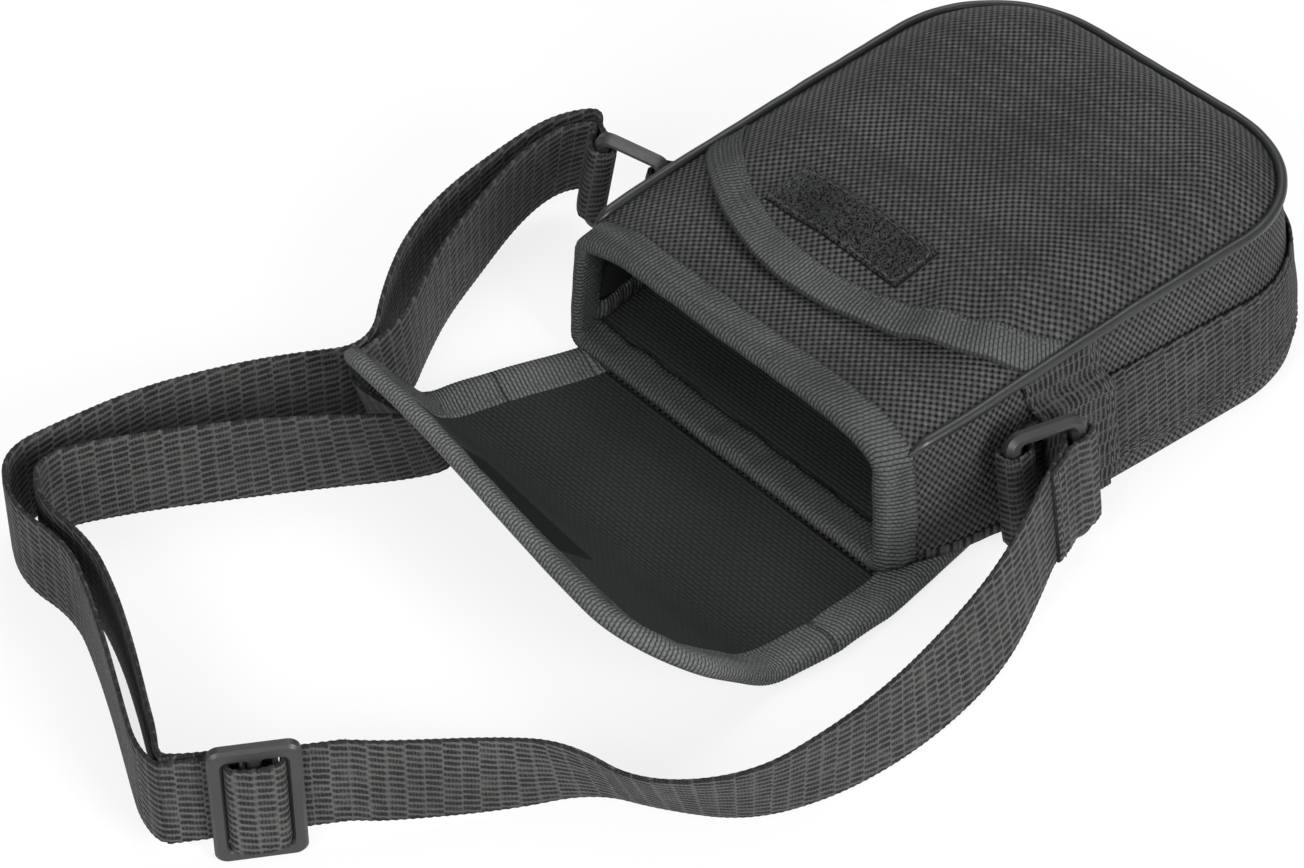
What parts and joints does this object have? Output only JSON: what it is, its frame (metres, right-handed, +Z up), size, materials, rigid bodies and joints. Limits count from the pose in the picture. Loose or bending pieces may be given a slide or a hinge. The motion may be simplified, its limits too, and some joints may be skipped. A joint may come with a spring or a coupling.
{
  "type": "binocular pouch",
  "caption": "Padded soft pouch for binoculars, lying on its back with its flap open: front pocket, bound seams, side rings and a webbing shoulder strap with a slider.",
  "frame": {"origin": "middle of the back panel's resting face, on the surface the pouch lies on", "axes": "+Z up through the front panel, +Y from the mouth towards the closed end, +X to the right of the mouth"},
  "size_m": [0.2089, 0.3395, 0.056],
  "materials": {
    "case_cloth": "ballistic weave, matt",
    "padding": "closed foam",
    "lining": "brushed knit, matt",
    "binding_tape": "fine ribbed tape",
    "webbing": "flat woven webbing",
    "loop_tape": "fuzzy loop tape",
    "hook_tape": "moulded hook tape",
    "piping": "satin cord cover",
    "moulded_plastic": "satin moulded"
  },
  "bodies": {
    "case": {"back_panel": "case_cloth", "back_foam": "padding", "back_lining": "lining", "gusset_band": "case_cloth", "gusset_foam": "padding", "gusset_lining": "lining", "front_panel": "case_cloth", "front_foam": "padding", "front_lining": "lining", "pocket_panel": "case_cloth", "pocket_binding": "binding_tape", "front_piping": "piping", "back_seam_tape": "binding_tape", "front_seam_tape": "binding_tape", "gusset_webbing": "webbing", "cross_tab_right": "webbing", "cross_tab_left": "webbing", "ring_loop_right": "webbing", "ring_loop_left": "webbing", "loop_patch": "loop_tape", "mouth_binding": "binding_tape", "flap_anchor": "case_cloth", "flap_anchor_binding": "binding_tape", "strap_run": "webbing", "strap_outer": "webbing", "strap_inner": "webbing"},
    "flap_lid": {"flap_lid_outer": "case_cloth", "flap_lid_core": "padding", "flap_lid_lining": "lining", "flap_lid_binding": "binding_tape"},
    "flap_front": {"flap_front_outer": "case_cloth", "flap_front_core": "padding", "flap_front_lining": "lining", "flap_front_binding": "binding_tape", "hook_patch": "hook_tape"},
    "right_ring": {"ring_right": "moulded_plastic", "strap_end_right": "webbing"},
    "left_ring": {"ring_left": "moulded_plastic", "strap_turn_left": "webbing"},
    "slider_body": {"slider": "moulded_plastic", "strap_wave": "webbing", "strap_tail": "webbing"}
  },
  "joints": [
    {"name": "flap_hinge", "type": "hinge", "parent": "case", "child": "flap_lid", "pos_m": [0, -0.08115, 0.003], "axis": [-1, 0, 0], "range_deg": [0, 90]},
    {"name": "flap_crease", "type": "hinge", "parent": "flap_lid", "child": "flap_front", "pos_m": [0, -0.12415, 0.003], "axis": [-1, 0, 0], "range_deg": [-42, 33]},
    {"name": "right_ring_swivel", "type": "hinge", "parent": "case", "child": "right_ring", "pos_m": [0.06991, -0.04919, 0.01964], "axis": [-0.2061, 0.005, 0.9785], "range_deg": [-30, 10], "deforming": ["strap_run"]},
    {"name": "left_ring_swivel", "type": "hinge", "parent": "case", "child": "left_ring", "pos_m": [-0.07016, -0.04069, 0.01962], "axis": [0.2042, 0.0049, 0.9789], "range_deg": [-20, 15], "deforming": ["strap_outer", "strap_inner"]},
    {"name": "slider_slide", "type": "slide", "parent": "case", "child": "slider_body", "axis": [-0.5039, -0.8638, 0], "range_m": [-0.012, 0.004], "deforming": ["strap_run", "strap_outer", "strap_inner"]}
  ]
}
